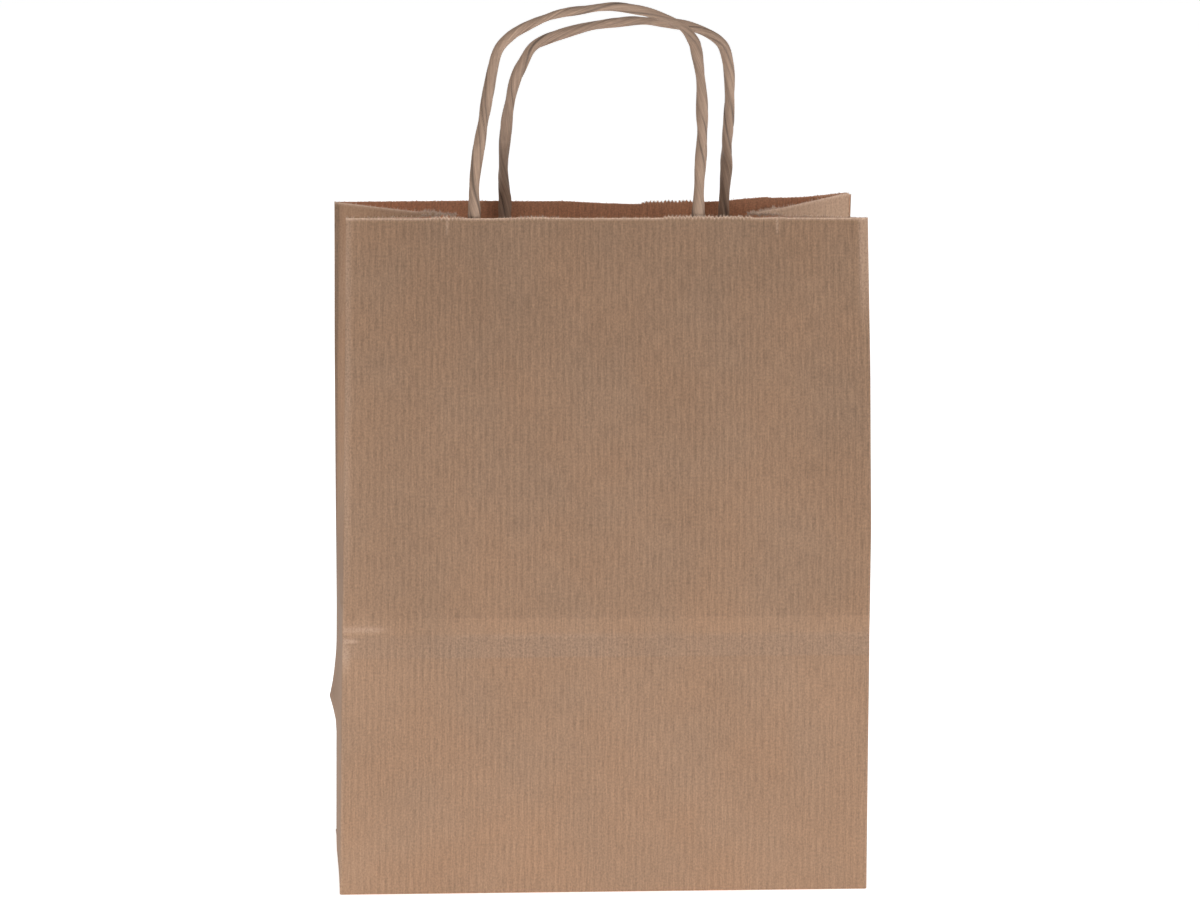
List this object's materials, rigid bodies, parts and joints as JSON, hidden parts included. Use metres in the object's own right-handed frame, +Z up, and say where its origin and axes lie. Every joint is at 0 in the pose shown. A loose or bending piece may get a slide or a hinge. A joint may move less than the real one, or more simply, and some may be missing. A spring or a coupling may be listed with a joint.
{
  "type": "gift bag",
  "caption": "Kraft paper gift bag with a folded square bottom, creased side gussets and two twisted paper cord handles on glued patches.",
  "frame": {"origin": "centre of the footprint, on the plane that the bag stands on", "axes": "+Z up from the bottom to the mouth, +X to the right along the front panel, +Y from the front panel to the back panel; the front faces -Y"},
  "size_m": [0.24, 0.12, 0.404],
  "materials": {
    "kraft_outside": "matte",
    "kraft_patch": "matte",
    "twisted_cord": "matte"
  },
  "bodies": {
    "box": {"bottom_outer_flap": "kraft_outside", "bottom_inner_flap": "kraft_outside", "bottom_left_tuck": "kraft_outside", "bottom_right_tuck": "kraft_outside", "lower_front_panel": "kraft_outside", "lower_back_panel": "kraft_outside", "lower_left_gusset": "kraft_outside", "lower_right_gusset": "kraft_outside", "lower_seam_lap": "kraft_outside"},
    "front_panel": {"upper_front_panel": "kraft_outside", "front_patch_outer": "kraft_patch", "front_patch_inner": "kraft_patch", "front_cord_left_end": "twisted_cord", "front_cord_right_end": "twisted_cord"},
    "front_handle": {"front_handle_loop": "twisted_cord"},
    "back_panel": {"upper_back_panel": "kraft_outside", "back_patch_outer": "kraft_patch", "back_patch_inner": "kraft_patch", "back_cord_left_end": "twisted_cord", "back_cord_right_end": "twisted_cord", "upper_seam_lap": "kraft_outside"},
    "back_handle": {"back_handle_loop": "twisted_cord"},
    "left_gusset_front": {"left_gusset_front_half": "kraft_outside"},
    "left_gusset_back": {"left_gusset_back_half": "kraft_outside"},
    "right_gusset_front": {"right_gusset_front_half": "kraft_outside"},
    "right_gusset_back": {"right_gusset_back_half": "kraft_outside"}
  },
  "joints": [
    {"name": "mouth", "type": "hinge", "parent": "box", "child": "front_panel", "pos_m": [0, -0.06, 0.12], "axis": [-1, 0, 0], "range_deg": [-9.5, 1.5], "stiffness_Nm_per_rad": 0.3},
    {"name": "mouth_back", "type": "hinge", "parent": "box", "child": "back_panel", "pos_m": [0, 0.06, 0.12], "axis": [1, 0, 0], "range_deg": [-9.5, 1.5], "stiffness_Nm_per_rad": 0.3},
    {"name": "left_front_fold", "type": "hinge", "parent": "front_panel", "child": "left_gusset_front", "pos_m": [-0.12, -0.06, 0.12], "axis": [0.7609, 0.6467, -0.0533], "range_deg": [-12.6, 2.1], "deforming": ["left_gusset_front_half"]},
    {"name": "left_back_fold", "type": "hinge", "parent": "back_panel", "child": "left_gusset_back", "pos_m": [-0.12, 0.06, 0.12], "axis": [-0.7609, 0.6467, 0.0533], "range_deg": [-12.6, 2.1], "deforming": ["left_gusset_back_half"]},
    {"name": "right_front_fold", "type": "hinge", "parent": "front_panel", "child": "right_gusset_front", "pos_m": [0.12, -0.06, 0.12], "axis": [0.7609, -0.6467, 0.0533], "range_deg": [-12.6, 2.1], "deforming": ["right_gusset_front_half"]},
    {"name": "right_back_fold", "type": "hinge", "parent": "back_panel", "child": "right_gusset_back", "pos_m": [0.12, 0.06, 0.12], "axis": [-0.7609, -0.6467, -0.0533], "range_deg": [-12.6, 2.1], "deforming": ["right_gusset_back_half"]},
    {"name": "front_handle_bend", "type": "hinge", "parent": "front_panel", "child": "front_handle", "pos_m": [-0.0085, -0.02502, 0.30963], "axis": [1, 0, 0], "range_deg": [0, 90], "stiffness_Nm_per_rad": 0.1},
    {"name": "back_handle_bend", "type": "hinge", "parent": "back_panel", "child": "back_handle", "pos_m": [0.0085, 0.02502, 0.30963], "axis": [-1, 0, 0], "range_deg": [0, 90], "stiffness_Nm_per_rad": 0.1}
  ],
  "couplings": [
    {"joint": "mouth_back", "follows": "mouth", "ratio": 1},
    {"joint": "left_front_fold", "follows": "mouth", "ratio": 1.3143},
    {"joint": "left_back_fold", "follows": "mouth", "ratio": 1.3143},
    {"joint": "right_front_fold", "follows": "mouth", "ratio": 1.3143},
    {"joint": "right_back_fold", "follows": "mouth", "ratio": 1.3143}
  ]
}
